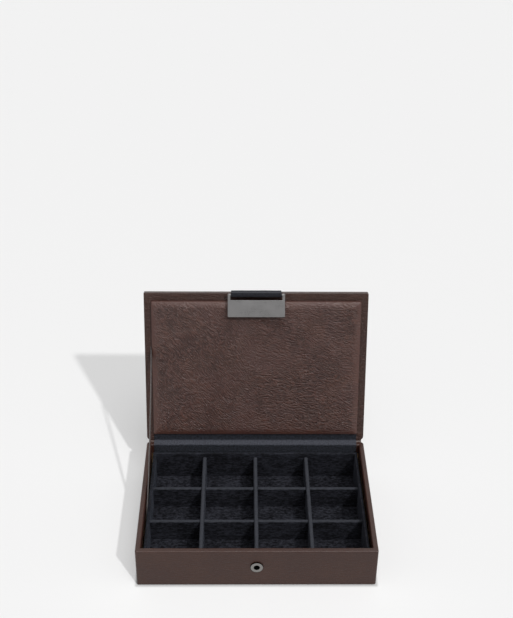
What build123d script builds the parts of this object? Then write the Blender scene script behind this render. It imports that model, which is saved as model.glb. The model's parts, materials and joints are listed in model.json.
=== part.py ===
from build123d import *
import math
import os

# A small lidded display box for cufflinks: leather-wrapped boards, a felt tray with
# twelve compartments, a padded lid on a cloth hinge, and a strap with a metal press-stud plate.
# Millimetres.  X runs to the right, Y to the back, Z up.  The origin is the middle of the underside.
# The lid stands open, leaning back on its stay ribbon.

# ---------------------------------------------------------------- driving dimensions: base

BOX_WIDTH = 180.0
BOX_DEPTH = 125.0
BASE_HEIGHT = 35.3
LEATHER = 0.6                # thickness of the leather wrap
WALL_BOARD = 2.8             # wall boards under the leather
FLOOR_BOARD = 3.5
RIM_RETURN = 9.0             # how far the leather turns down inside the rim
FOLD_UNDER = 8.0             # how far the leather turns in under the base
SOLE_PROUD = 0.2             # the underside sheet stands this much below the turned-in leather
FRONT_CORNER = 1.3           # outside radius of the upright corners at the front
BACK_CORNER = 2.2            # and at the hinge side
RIM_ROUND = 0.9              # rounding of the leather over the rim
FOOT_ROUND = 1.2             # rounding of the leather at the foot of the walls

# ---------------------------------------------------------------- driving dimensions: tray

RIBBON_ROOM = 0.55           # each side of the stay ribbon, between the tray and a side wall
TRAY_END_ROOM = 1.7          # between the tray's ends and the lining or the socket's rivet
TRAY_WALL = 2.2
TRAY_FLOOR = 1.0
TRAY_DROP = 5.8              # tray rim below the box rim
DIVIDER = 3.2                # felt-covered divider thickness
LONG_DIVIDER_DROP = 3.8      # front-to-back dividers below the tray rim
CROSS_DIVIDER_DROP = 5.4     # side-to-side dividers below the tray rim
COLUMNS = 4
ROWS = 3
FELT_ROUND = 1.3             # rounded top of a divider
TRAY_RIM_ROUND = 0.8
FELT_GAP = 0.1               # clearance between felt pieces

# ---------------------------------------------------------------- driving dimensions: lid

HINGE_BEHIND = 1.2           # hinge axis behind the back of the base
HINGE_ROOM = 0.15            # room left above the folded cloth when closed
LID_LEAN = 15.6              # degrees the open lid leans back from upright
LID_SETTLE = 0.18            # degrees the lid sinks past level to meet the front rim
LID_OVERHANG = 1.5           # lid beyond the front of the base
LID_BACK_OVERHANG = 1.0      # and beyond its back, over the spine strip
LID_BOARD = 4.3
LID_FRONT_CORNER = 0.9
LID_HINGE_CORNER = 3.0
LID_ROUND = 0.7              # rounding of the lid's long edges
LID_RETURN = 14.0            # leather turned in on the lid's inner face
PAD_SIDE_GAP = 1.6           # pad to the inside of the side walls when closed
PAD_FRONT_GAP = 0.6          # pad to the inside of the front wall when closed
PAD_HINGE_GAP = 0.35         # pad to the cloth on the back wall when closed
PAD_BOARD = 1.0
PAD_EDGE = 3.2               # height of the pad at its edges
PAD_CROWN = 3.9              # and in the middle
PAD_SKIN = 0.8
PAD_ROUND = 1.6              # soft edge of the pad
PAD_CORNER = 1.5
FOAM_GAP = 0.05              # foam to its leather cover

# ---------------------------------------------------------------- driving dimensions: soft hinge

SPINE = 0.7                  # leather strip outside the hinge
SPINE_INSET = 1.6            # strip ends short of the box's sides
SPINE_ON_BASE = 18.0         # height glued to the back of the base
SPINE_ON_LID = 11.0          # width glued to the outer face of the lid
LINING = 0.4                 # cloth strip inside the hinge
LINING_INSET = 6.0
LINING_IN_BASE = 15.0        # depth tucked down behind the tray
STRIP_GAP = 0.05             # glue line between a strip and what it lies on
SPINE_FOLD = 1.3             # free leather at each side of the fold
SPINE_BEND = 0.7
LINING_BEND = 1.5
LINING_EDGE_BEND = 0.7
RIBBON = 0.4
RIBBON_WIDTH = 4.0
RIBBON_ON_LID = 81.4         # ribbon end to hinge axis, along the lid
RIBBON_IN_BASE = 72.7        # ribbon's entry behind the tray, forward of the hinge axis
RIBBON_TAIL = 13.0           # hidden end behind the tray

# ---------------------------------------------------------------- driving dimensions: closure

PLATE_WIDTH = 45.6
PLATE_HEIGHT = 18.7
PLATE = 1.4                  # thickness of the metal
PLATE_ARM = 2.2              # the two sides of the slot
SLOT_ROOM = 2.1              # strap loop to the lower edge of the slot
PLATE_CORNER = 0.8
PLATE_EDGE = 0.25            # eased edges of the front face
BAR_RADIUS = 0.8
BAR_BELOW_TOP = 0.9
BAR_FIT = 0.08               # strap loop round the bar
PLATE_TILT = 11.5            # degrees the hanging plate stands away from the lid
PLATE_PRESS = 7.0            # degrees it swings in when the stud is pressed home
BAR_PAST_EDGE = 0.3          # bar beyond the lid's free edge
BAR_PROUD = 5.6              # bar in front of the lid's inner face
STRAP = 1.2
STRAP_SIDE_GAP = 0.4         # strap to the arms of the slot
STRAP_ON_LID = 12.0          # length sewn to the lid's outer face
STRAP_BEND = 0.9
STUD_REACH = 13.0            # stud centre below the bar
STUD_RADIUS = 1.8
STUD_HEIGHT = 2.0
STUD_FLANGE_RADIUS = 3.2
STUD_FLANGE = 0.4
SOCKET_BELOW_RIM = 15.7      # socket centre below the box rim
SOCKET_RADIUS = 4.9
SOCKET_PROUD = 1.0
STUD_SIDE_ROOM = 0.4         # stud to the side of the socket's mouth
STUD_END_ROOM = 1.0          # stud to the bottom of the socket
BARREL_WALL = 0.6
BARREL_FIT = 0.05
RIVET_RIM = 1.8              # the rivet beyond the barrel
RIVET = 0.7
PRESSED_GAP = 0.7            # plate to socket face when the stud is home

# ---------------------------------------------------------------- derived places

HALF_WIDTH = BOX_WIDTH / 2
HALF_DEPTH = BOX_DEPTH / 2
WALL = LEATHER + WALL_BOARD + LEATHER
SOLE = SOLE_PROUD + LEATHER
FLOOR_TOP = SOLE + FLOOR_BOARD
TRAY_TOP = BASE_HEIGHT - TRAY_DROP
FELT_FLOOR = FLOOR_TOP + TRAY_FLOOR
LONG_TOP = TRAY_TOP - LONG_DIVIDER_DROP
CROSS_TOP = TRAY_TOP - CROSS_DIVIDER_DROP
LAP_HEIGHT = (FELT_FLOOR + CROSS_TOP) / 2

LINING_ROOM = LINING + 2 * STRIP_GAP
TRAY_SIDE_GAP = RIBBON + 2 * RIBBON_ROOM
TRAY_END_GAP = max(RIVET, LINING_ROOM) + TRAY_END_ROOM
TRAY_HALF_WIDTH = HALF_WIDTH - WALL - TRAY_SIDE_GAP
TRAY_HALF_DEPTH = HALF_DEPTH - WALL - TRAY_END_GAP
CELL_WIDTH = (2 * (TRAY_HALF_WIDTH - TRAY_WALL) - (COLUMNS - 1) * DIVIDER) / COLUMNS
CELL_DEPTH = (2 * (TRAY_HALF_DEPTH - TRAY_WALL) - (ROWS - 1) * DIVIDER) / ROWS
LONG_DIVIDER_X = [(i - COLUMNS / 2) * (CELL_WIDTH + DIVIDER) for i in range(1, COLUMNS)]
CROSS_DIVIDER_Y = [(i - ROWS / 2) * (CELL_DEPTH + DIVIDER) for i in range(1, ROWS)]

HINGE_Y = HALF_DEPTH + HINGE_BEHIND
HINGE_Z = BASE_HEIGHT + LINING_ROOM + HINGE_ROOM
LID_THICKNESS = LEATHER + LID_BOARD + LEATHER
LID_START = HINGE_BEHIND - LID_BACK_OVERHANG
LID_END = HINGE_Y + HALF_DEPTH + LID_OVERHANG
PAD_START = HINGE_BEHIND + WALL + STRIP_GAP + LINING + PAD_HINGE_GAP
PAD_END = HINGE_Y + HALF_DEPTH - WALL - PAD_FRONT_GAP
PAD_HALF_WIDTH = HALF_WIDTH - WALL - PAD_SIDE_GAP

SOCKET_Z = BASE_HEIGHT - SOCKET_BELOW_RIM
SOCKET_MOUTH = STUD_RADIUS + STUD_SIDE_ROOM
SOCKET_DEPTH = STUD_HEIGHT - PRESSED_GAP + STUD_END_ROOM
SOCKET_BARREL = SOCKET_MOUTH + BARREL_WALL
RIVET_RADIUS = SOCKET_BARREL + RIVET_RIM
STRAP_WIDTH = PLATE_WIDTH - 2 * PLATE_ARM - 2 * STRAP_SIDE_GAP
LOOP_RADIUS = BAR_RADIUS + BAR_FIT + STRAP
PLATE_HEAD = BAR_BELOW_TOP + LOOP_RADIUS + SLOT_ROOM
BAR_ALONG = LID_END + BAR_PAST_EDGE

# Lid pieces are drawn with the lid lying on its outer face: Y away from the hinge axis,
# Z out of the inner face.  This placement stands them up behind the base.
LID_PLACE = Pos(0, HINGE_Y, HINGE_Z) * Rot(90 - LID_LEAN, 0, 0)
# The plate is drawn flat, hanging towards -Y from its bar, with its back towards -Z.
PLATE_PLACE = LID_PLACE * Pos(0, BAR_ALONG, BAR_PROUD) * Rot(-PLATE_TILT, 0, 0)


# ---------------------------------------------------------------- helpers

def block(x_range, y_range, z_range):
    """An upright box between pairs of coordinates."""
    size = [high - low for low, high in (x_range, y_range, z_range)]
    middle = [(high + low) / 2 for low, high in (x_range, y_range, z_range)]
    return Pos(*middle) * Box(*size)


def plan(width, depth, front_radius, back_radius):
    """A rectangle with its own radius on the front and on the back corners."""
    outline = Rectangle(width, depth)
    if front_radius > 0:
        outline = fillet(outline.vertices().group_by(Axis.Y)[0], front_radius)
    if back_radius > 0:
        outline = fillet(outline.vertices().group_by(Axis.Y)[-1], back_radius)
    return outline


def slab(outline, z_low, z_high):
    return Pos(0, 0, z_low) * extrude(outline, z_high - z_low)


def base_outline(inset):
    """The base's outline seen from above, drawn in by a distance."""
    front = max(FRONT_CORNER - inset, 0)
    back = max(BACK_CORNER - inset, 0)
    return plan(BOX_WIDTH - 2 * inset, BOX_DEPTH - 2 * inset, front, back)


def lid_outline(inset):
    """The lid's outline on its outer face; the hinge edge is at low Y."""
    length = LID_END - LID_START - 2 * inset
    hinge_corner = max(LID_HINGE_CORNER - inset, 0)
    free_corner = max(LID_FRONT_CORNER - inset, 0)
    outline = plan(BOX_WIDTH - 2 * inset, length, hinge_corner, free_corner)
    return Pos(0, (LID_START + LID_END) / 2) * outline


def rim_edges(solid, z_height):
    """The edges of a solid that lie flat at one height."""
    return solid.edges().filter_by_position(Axis.Z, z_height - 0.01, z_height + 0.01)


def lid_point(along, proud):
    """Y and Z, with the lid open, of a place given along and in front of the lid's inner face."""
    lean = math.radians(LID_LEAN)
    y = HINGE_Y + along * math.sin(lean) - proud * math.cos(lean)
    z = HINGE_Z + along * math.cos(lean) + proud * math.sin(lean)
    return (y, z)


def strip(points, radii, thickness, half_width):
    """A bent strip of cloth or leather: a section in Y and Z, as wide as asked in X."""
    section = trace(FilletPolyline(*points, radius=radii), line_width=thickness)
    return extrude(Plane.YZ * section, amount=half_width, both=True)


# ---------------------------------------------------------------- base

def base_boards():
    """Four wall boards: front and back run the full width, the sides stand between them."""
    outer = slab(base_outline(LEATHER), SOLE, BASE_HEIGHT - LEATHER)
    inner = slab(base_outline(LEATHER + WALL_BOARD), SOLE, BASE_HEIGHT - LEATHER)
    ring = outer - inner
    all_x = (-HALF_WIDTH, HALF_WIDTH)
    all_z = (0, BASE_HEIGHT)
    seam_y = HALF_DEPTH - LEATHER - WALL_BOARD
    socket_hole = front_cylinder(SOCKET_BARREL + BARREL_FIT, -HALF_DEPTH, -seam_y)
    return {
        "base_front_board": (ring & block(all_x, (-HALF_DEPTH, -seam_y), all_z)) - socket_hole,
        "base_back_board": ring & block(all_x, (seam_y, HALF_DEPTH), all_z),
        "base_left_board": ring & block((-HALF_WIDTH, 0), (-seam_y, seam_y), all_z),
        "base_right_board": ring & block((0, HALF_WIDTH), (-seam_y, seam_y), all_z),
    }


def base_floor_board():
    return slab(base_outline(LEATHER + WALL_BOARD), SOLE, FLOOR_TOP)


def base_leather():
    """The wrap: up the outside, over the rim, down inside it, and turned in underneath."""
    skin = slab(base_outline(0), SOLE_PROUD, BASE_HEIGHT)
    skin = fillet(rim_edges(skin, SOLE_PROUD), FOOT_ROUND)
    skin -= slab(base_outline(WALL), BASE_HEIGHT - RIM_RETURN, BASE_HEIGHT)
    skin = fillet(rim_edges(skin, BASE_HEIGHT), RIM_ROUND)
    skin -= slab(base_outline(LEATHER), SOLE, BASE_HEIGHT - RIM_RETURN)
    board_slot = slab(base_outline(LEATHER), BASE_HEIGHT - RIM_RETURN, BASE_HEIGHT - LEATHER)
    board_slot -= slab(base_outline(LEATHER + WALL_BOARD), BASE_HEIGHT - RIM_RETURN, BASE_HEIGHT)
    skin -= board_slot
    skin -= slab(base_outline(FOLD_UNDER), SOLE_PROUD, SOLE)
    return skin - front_cylinder(SOCKET_BARREL + BARREL_FIT, -HALF_DEPTH, -HALF_DEPTH + WALL)


def base_sole():
    """The sheet glued over the turned-in leather's opening; the box stands on it."""
    return slab(base_outline(FOLD_UNDER + FELT_GAP), 0, SOLE)


# ---------------------------------------------------------------- tray

def felt_strip(length, thickness, z_low, z_high, top_round):
    """A felt-covered strip standing along X, with a rounded top edge."""
    section = Pos(0, (z_low + z_high) / 2) * Rectangle(thickness, z_high - z_low)
    section = fillet(section.vertices().group_by(Axis.Y)[-1], top_round)
    return extrude(Plane.YZ * section, amount=length / 2, both=True)


def tray_walls():
    """Front and back walls run the full width; the side walls stand between them."""
    end_wall = felt_strip(2 * TRAY_HALF_WIDTH, TRAY_WALL, FLOOR_TOP, TRAY_TOP, TRAY_RIM_ROUND)
    side_length = 2 * (TRAY_HALF_DEPTH - TRAY_WALL - FELT_GAP)
    side_wall = felt_strip(side_length, TRAY_WALL, FLOOR_TOP, TRAY_TOP, TRAY_RIM_ROUND)
    side_wall = Rot(0, 0, 90) * side_wall
    end_y = TRAY_HALF_DEPTH - TRAY_WALL / 2
    side_x = TRAY_HALF_WIDTH - TRAY_WALL / 2
    return {
        "tray_front_wall": Pos(0, -end_y, 0) * end_wall,
        "tray_back_wall": Pos(0, end_y, 0) * end_wall,
        "tray_left_wall": Pos(-side_x, 0, 0) * side_wall,
        "tray_right_wall": Pos(side_x, 0, 0) * side_wall,
    }


def tray_floor():
    half_x = TRAY_HALF_WIDTH - TRAY_WALL - FELT_GAP
    half_y = TRAY_HALF_DEPTH - TRAY_WALL - FELT_GAP
    return block((-half_x, half_x), (-half_y, half_y), (FLOOR_TOP, FELT_FLOOR))


def lap_slot(z_range):
    """The notch that lets one divider cross another."""
    half = DIVIDER / 2 + FELT_GAP
    return block((-half, half), (-half, half), z_range)


def long_dividers():
    """Front-to-back dividers, notched from below over the cross dividers."""
    length = 2 * (TRAY_HALF_DEPTH - TRAY_WALL - FELT_GAP)
    blank = Rot(0, 0, 90) * felt_strip(length, DIVIDER, FELT_FLOOR, LONG_TOP, FELT_ROUND)
    for y in CROSS_DIVIDER_Y:
        blank -= Pos(0, y, 0) * lap_slot((FELT_FLOOR, LAP_HEIGHT + FELT_GAP / 2))
    names = ["long_divider_" + str(i + 1) for i in range(COLUMNS - 1)]
    return {name: Pos(x, 0, 0) * blank for name, x in zip(names, LONG_DIVIDER_X)}


def cross_dividers():
    """Side-to-side dividers, notched from above under the long dividers."""
    length = 2 * (TRAY_HALF_WIDTH - TRAY_WALL - FELT_GAP)
    blank = felt_strip(length, DIVIDER, FELT_FLOOR, CROSS_TOP, FELT_ROUND)
    for x in LONG_DIVIDER_X:
        blank -= Pos(x, 0, 0) * lap_slot((LAP_HEIGHT - FELT_GAP / 2, CROSS_TOP))
    names = ["cross_divider_" + str(i + 1) for i in range(ROWS - 1)]
    return {name: Pos(0, y, 0) * blank for name, y in zip(names, CROSS_DIVIDER_Y)}


# ---------------------------------------------------------------- lid

def lid_board():
    return LID_PLACE * slab(lid_outline(LEATHER), -LID_THICKNESS + LEATHER, -LEATHER)


def lid_leather():
    """The wrap over the lid's outer face and edges, turned in on the inner face."""
    skin = slab(lid_outline(0), -LID_THICKNESS, 0)
    skin = fillet(rim_edges(skin, 0) + rim_edges(skin, -LID_THICKNESS), LID_ROUND)
    skin -= slab(lid_outline(LEATHER), -LID_THICKNESS + LEATHER, -LEATHER)
    skin -= slab(lid_outline(LID_RETURN), -LEATHER, 0)
    return LID_PLACE * skin


def crowned_panel(inset, z_low):
    """The pad's swelling shape, drawn in by a distance on its sides and top."""
    half_x = PAD_HALF_WIDTH - inset
    half_y = (PAD_END - PAD_START) / 2 - inset
    shapes = []
    for plane, half, reach in ((Plane.XZ, half_x, half_y), (Plane.YZ, half_y, half_x)):
        edge = PAD_EDGE - inset
        crown = PAD_CROWN - inset
        sides = Polyline((half, edge), (half, z_low), (-half, z_low), (-half, edge))
        top = ThreePointArc((-half, edge), (0, crown), (half, edge))
        section = make_face(Curve() + [sides, top])
        section = fillet(section.vertices().group_by(Axis.Y)[-1], PAD_ROUND - inset)
        shapes.append(extrude(plane * section, amount=reach, both=True))
    corner = PAD_CORNER - inset
    outline = plan(2 * half_x, 2 * half_y, corner, corner)
    panel = shapes[0] & shapes[1] & slab(outline, z_low, PAD_CROWN)
    return Pos(0, (PAD_START + PAD_END) / 2, 0) * panel


def lid_pad():
    """A board, a foam layer and the leather stretched over both."""
    half_x = PAD_HALF_WIDTH - PAD_SKIN - FOAM_GAP
    board_y = (PAD_START + PAD_SKIN + FOAM_GAP, PAD_END - PAD_SKIN - FOAM_GAP)
    board = block((-half_x, half_x), board_y, (0, PAD_BOARD))
    foam = crowned_panel(PAD_SKIN + FOAM_GAP, PAD_BOARD)
    cavity = crowned_panel(PAD_SKIN, PAD_BOARD - FOAM_GAP)
    board_room = block((-PAD_HALF_WIDTH + PAD_SKIN, PAD_HALF_WIDTH - PAD_SKIN),
                       (PAD_START + PAD_SKIN, PAD_END - PAD_SKIN), (0, PAD_BOARD))
    cover = crowned_panel(0, 0) - cavity - board_room
    return {
        "lid_pad_board": LID_PLACE * board,
        "lid_pad_foam": LID_PLACE * foam,
        "lid_pad_cover": LID_PLACE * cover,
    }


# ---------------------------------------------------------------- soft hinge and stay

def hinge_spine():
    """The leather strip outside: up the back of the base, under the lid's edge and on to its face."""
    off = SPINE / 2 + STRIP_GAP
    back = HALF_DEPTH + off
    edge = LID_START - off
    outer = -LID_THICKNESS - off
    points = [
        (back, BASE_HEIGHT - SPINE_ON_BASE),
        (back, BASE_HEIGHT - SPINE_FOLD),
        lid_point(edge, -SPINE_FOLD),
        lid_point(edge, outer),
        lid_point(LID_START + SPINE_ON_LID, outer),
    ]
    return strip(points, SPINE_BEND, SPINE, HALF_WIDTH - SPINE_INSET)


def hinge_lining():
    """The cloth inside: down behind the tray, over the back wall and up on to the lid."""
    off = LINING / 2 + STRIP_GAP
    inside = HALF_DEPTH - WALL - off
    over = BASE_HEIGHT + off
    lean = math.radians(LID_LEAN)
    # Where the line over the wall's top meets the line along the lid's inner face.
    rise = (over - HINGE_Z - off * math.sin(lean)) / math.cos(lean)
    points = [
        (inside, BASE_HEIGHT - LINING_IN_BASE),
        (inside, over),
        lid_point(rise, off),
        lid_point(PAD_START - STRIP_GAP, off),
    ]
    return strip(points, [LINING_EDGE_BEND, LINING_BEND], LINING, HALF_WIDTH - LINING_INSET)


def stay_ribbon():
    """The ribbon at the left that stops the lid: from beside the pad down behind the tray."""
    top_y, top_z = lid_point(RIBBON_ON_LID, 0)
    entry_y, entry_z = HINGE_Y - RIBBON_IN_BASE, TRAY_TOP
    length = math.hypot(top_y - entry_y, top_z - entry_z)
    dir_y, dir_z = (top_y - entry_y) / length, (top_z - entry_z) / length
    lean = math.radians(LID_LEAN)
    towards_lid = dir_y * math.cos(lean) - dir_z * math.sin(lean)
    corners = []
    for side in (-1, 1):
        y = entry_y - RIBBON_TAIL * dir_y - side * RIBBON_WIDTH / 2 * dir_z
        z = entry_z - RIBBON_TAIL * dir_z + side * RIBBON_WIDTH / 2 * dir_y
        clearance = -(y - HINGE_Y) * math.cos(lean) + (z - HINGE_Z) * math.sin(lean) - STRIP_GAP
        reach = clearance / towards_lid
        corners.append([(y, z), (y + reach * dir_y, z + reach * dir_z)])
    outline = Polyline(corners[0][0], corners[0][1], corners[1][1], corners[1][0], close=True)
    middle_x = -HALF_WIDTH + WALL + TRAY_SIDE_GAP / 2
    return Pos(middle_x, 0, 0) * extrude(Plane.YZ * make_face(outline), amount=RIBBON / 2, both=True)


# ---------------------------------------------------------------- closure

def front_cylinder(radius, y_low, y_high):
    """A cylinder on the socket's axis, between two depths."""
    middle = (y_low + y_high) / 2
    return Pos(0, middle, SOCKET_Z) * Rot(90, 0, 0) * Cylinder(radius, y_high - y_low)


def closure_strap():
    """The webbing sewn to the lid's outer face, brought over the free edge to the loop."""
    off = STRAP / 2 + STRIP_GAP
    outer = -LID_THICKNESS - off
    over = LID_END + off
    points = [
        (LID_END - STRAP_ON_LID, outer),
        (over, outer),
        (over, BAR_PROUD - LOOP_RADIUS - STRIP_GAP),
    ]
    return LID_PLACE * strip(points, STRAP_BEND, STRAP, STRAP_WIDTH / 2)


def strap_loop():
    """The end of the webbing turned round the plate's bar."""
    ring = Circle(LOOP_RADIUS) - Circle(BAR_RADIUS + BAR_FIT)
    return PLATE_PLACE * extrude(Plane.YZ * ring, amount=STRAP_WIDTH / 2, both=True)


def clasp_plate():
    """A bare metal plate with a slot below its top bar."""
    top = BAR_BELOW_TOP
    middle_y = top - PLATE_HEIGHT / 2
    outline = Pos(0, middle_y) * plan(PLATE_WIDTH, PLATE_HEIGHT, PLATE_CORNER, PLATE_CORNER)
    slot_width = PLATE_WIDTH - 2 * PLATE_ARM
    slot = Pos(0, top - PLATE_HEAD / 2) * Rectangle(slot_width, PLATE_HEAD)
    sheet = Pos(0, 0, -PLATE / 2) * extrude(outline - slot, PLATE)
    sheet = fillet(rim_edges(sheet, PLATE / 2), PLATE_EDGE)
    bar = Rot(0, 90, 0) * Cylinder(BAR_RADIUS, slot_width + PLATE_ARM)
    return PLATE_PLACE * (sheet + bar)


def snap_stud():
    """The male half of the press stud, riveted to the back of the plate."""
    half = [
        (0, 0),
        (STUD_FLANGE_RADIUS, 0),
        (STUD_FLANGE_RADIUS, -STUD_FLANGE),
        (STUD_RADIUS - 0.3, -STUD_FLANGE),
        (STUD_RADIUS, -STUD_HEIGHT + 0.6),
        (STUD_RADIUS - 0.4, -STUD_HEIGHT),
        (0, -STUD_HEIGHT),
    ]
    stud = revolve(Plane.XZ * make_face(Polyline(*half, close=True)), Axis.Z)
    return PLATE_PLACE * Pos(0, -STUD_REACH, -PLATE / 2) * stud


def snap_socket():
    """The female half: a rolled ring on the front, its barrel through the wall."""
    ring_roll = SOCKET_PROUD / 2 - 0.05
    barrel_end = WALL - LEATHER + RIVET
    ring = Pos(0, 0, -SOCKET_PROUD / 2) * Cylinder(SOCKET_RADIUS, SOCKET_PROUD)
    ring = fillet(ring.edges().filter_by(GeomType.CIRCLE), ring_roll)
    barrel = Pos(0, 0, barrel_end / 2) * Cylinder(SOCKET_BARREL, barrel_end)
    cup = Pos(0, 0, -SOCKET_PROUD + SOCKET_DEPTH / 2) * Cylinder(SOCKET_MOUTH, SOCKET_DEPTH)
    body = ring + barrel - cup
    return Pos(0, -HALF_DEPTH, SOCKET_Z) * Rot(-90, 0, 0) * body


def socket_rivet():
    """The washer that the barrel is peened over, inside the front wall."""
    inner_face = -HALF_DEPTH + WALL - LEATHER
    disc = front_cylinder(RIVET_RADIUS, inner_face, inner_face + RIVET)
    return disc - front_cylinder(SOCKET_BARREL + BARREL_FIT, inner_face, inner_face + RIVET)


# ---------------------------------------------------------------- motion

def strap_fold():
    """Where the strap folds, along and in front of the lid, and by how many degrees.

    The fold carries the bar from where it hangs with the lid open to where it hangs in
    front of the base with the lid shut, so it is the centre of that turn.
    """
    turn = 90 + LID_LEAN + LID_SETTLE
    settle = math.radians(LID_SETTLE)
    shut_y = -HALF_DEPTH - SOCKET_PROUD - PRESSED_GAP - PLATE / 2 - HINGE_Y
    shut_z = SOCKET_Z + STUD_REACH - HINGE_Z
    shut = (-shut_y * math.cos(settle) - shut_z * math.sin(settle),
            shut_y * math.sin(settle) - shut_z * math.cos(settle))
    fold = turn - (LID_LEAN + PLATE_TILT - PLATE_PRESS)
    half = math.radians(fold) / 2
    step = (shut[0] - BAR_ALONG, shut[1] - BAR_PROUD)
    middle = (BAR_ALONG + step[0] / 2, BAR_PROUD + step[1] / 2)
    offset = 0.5 / math.tan(half)
    return (middle[0] + step[1] * offset, middle[1] - step[0] * offset), fold, turn


# ---------------------------------------------------------------- write the pieces

def all_pieces():
    pieces = {}
    pieces.update(base_boards())
    pieces["base_floor_board"] = base_floor_board()
    pieces["base_leather"] = base_leather()
    pieces["base_sole"] = base_sole()
    pieces.update(tray_walls())
    pieces["tray_floor"] = tray_floor()
    pieces.update(long_dividers())
    pieces.update(cross_dividers())
    pieces["lid_board"] = lid_board()
    pieces["lid_leather"] = lid_leather()
    pieces.update(lid_pad())
    pieces["hinge_spine"] = hinge_spine()
    pieces["hinge_lining"] = hinge_lining()
    pieces["stay_ribbon"] = stay_ribbon()
    pieces["closure_strap"] = closure_strap()
    pieces["strap_loop"] = strap_loop()
    pieces["clasp_plate"] = clasp_plate()
    pieces["snap_stud"] = snap_stud()
    pieces["snap_socket"] = snap_socket()
    pieces["socket_rivet"] = socket_rivet()
    return pieces


os.makedirs("parts", exist_ok=True)
for piece_name, piece in all_pieces().items():
    export_step(piece, "parts/" + piece_name + ".step")

fold_place, fold_angle, lid_turn = strap_fold()
print("lid hinge axis y z:", HINGE_Y, HINGE_Z, "turn", lid_turn)
print("strap fold axis y z:", lid_point(*fold_place), "turn", fold_angle)
print("plate bar axis y z:", lid_point(BAR_ALONG, BAR_PROUD))
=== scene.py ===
import json
import math

import bpy
from mathutils import Matrix, Vector, noise


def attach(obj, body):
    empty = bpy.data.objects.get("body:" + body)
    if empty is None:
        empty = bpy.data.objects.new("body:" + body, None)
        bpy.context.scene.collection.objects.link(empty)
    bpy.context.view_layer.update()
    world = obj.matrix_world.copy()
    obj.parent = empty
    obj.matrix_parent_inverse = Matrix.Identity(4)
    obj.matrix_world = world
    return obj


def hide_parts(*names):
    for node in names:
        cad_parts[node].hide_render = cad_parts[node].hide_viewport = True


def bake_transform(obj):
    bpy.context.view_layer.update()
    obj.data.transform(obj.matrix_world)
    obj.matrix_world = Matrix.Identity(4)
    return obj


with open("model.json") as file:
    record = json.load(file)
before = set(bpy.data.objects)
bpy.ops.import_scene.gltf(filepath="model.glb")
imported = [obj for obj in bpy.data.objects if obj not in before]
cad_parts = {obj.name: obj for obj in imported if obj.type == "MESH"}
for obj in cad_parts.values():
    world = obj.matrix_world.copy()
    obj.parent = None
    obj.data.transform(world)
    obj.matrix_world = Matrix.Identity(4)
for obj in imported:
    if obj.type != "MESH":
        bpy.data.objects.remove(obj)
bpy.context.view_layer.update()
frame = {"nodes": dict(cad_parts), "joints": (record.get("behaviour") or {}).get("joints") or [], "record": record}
NODES = frame["nodes"]
JOINTS = {joint["name"]: joint for joint in frame["joints"]}

# The looks of a leather-wrapped cufflink box: padded lid, soft hinge, ribbon stay, webbing
# closure with a metal plate, and a felt tray.  Sizes in this file are millimetres;
# to_metres turns them into Blender's metres where a mesh is made.

MM = 0.001

# ---------------------------------------------------------------- places taken from the frame

LID_SETTLE = 0.18            # degrees the shut lid sinks past level
PLATE_TILT = 11.5            # degrees the hanging plate stands away from the lid
STRIP_GAP = 0.05             # glue line under a strip

HINGE = Vector(JOINTS["lid_hinge"]["pos_m"]) / MM
BAR = Vector(JOINTS["plate_swing"]["pos_m"]) / MM
LID_LEAN = JOINTS["lid_hinge"]["range_deg"][1] - 90 - LID_SETTLE
LID_PLACE = Matrix.Translation(HINGE) @ Matrix.Rotation(math.radians(90 - LID_LEAN), 4, "X")
PLATE_TURN = math.radians(90 - LID_LEAN - PLATE_TILT)
UPRIGHT = Matrix.Identity(4)


def extent(node, place=UPRIGHT):
    """Lowest and highest corner of a CAD node in the axes of a place."""
    back = place.inverted()
    points = [back @ (v.co / MM) for v in NODES[node].data.vertices]
    low = Vector([min(p[i] for p in points) for i in range(3)])
    high = Vector([max(p[i] for p in points) for i in range(3)])
    return low, high


def lid_point(along, proud):
    """Y and Z at rest of a place given along and in front of the lid's inner face."""
    return (LID_PLACE @ Vector((0, along, proud))).yz


# ---------------------------------------------------------------- mesh helpers

def to_metres(points):
    return [tuple(c * MM for c in p) for p in points]


def make_piece(name, points, faces, material, uvs=None):
    """A smooth-shaded mesh object from points in millimetres; uvs holds one pair per point."""
    mesh = bpy.data.meshes.new(name)
    mesh.from_pydata(to_metres(points), [], faces)
    mesh.polygons.foreach_set("use_smooth", [True] * len(mesh.polygons))
    if uvs:
        layer = mesh.uv_layers.new(name="length")
        for loop in mesh.loops:
            layer.data[loop.index].uv = [c * MM for c in uvs[loop.vertex_index]]
    mesh.materials.append(material)
    mesh.update()
    piece = bpy.data.objects.new(name, mesh)
    bpy.context.scene.collection.objects.link(piece)
    return piece


def arc_path(corners, radii, step):
    """Samples of a path through corners, each rounded, as (point, left normal, length so far)."""
    corners = [Vector(c) for c in corners]
    points = [corners[0]]
    for before, corner, after, radius in zip(corners, corners[1:], corners[2:], radii):
        into = (corner - before).normalized()
        out = (after - corner).normalized()
        turn = into.angle(out)
        reach = radius * math.tan(turn / 2)
        side = 1 if into.cross(out) > 0 else -1
        centre = corner - into * reach + Vector((-into.y, into.x)) * side * radius
        start = corner - into * reach - centre
        pieces = max(2, math.ceil(turn * radius / step))
        for i in range(pieces + 1):
            angle = side * turn * i / pieces
            points.append(centre + Matrix.Rotation(angle, 2) @ start)
    points.append(corners[-1])
    return even_path(points, step)


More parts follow.
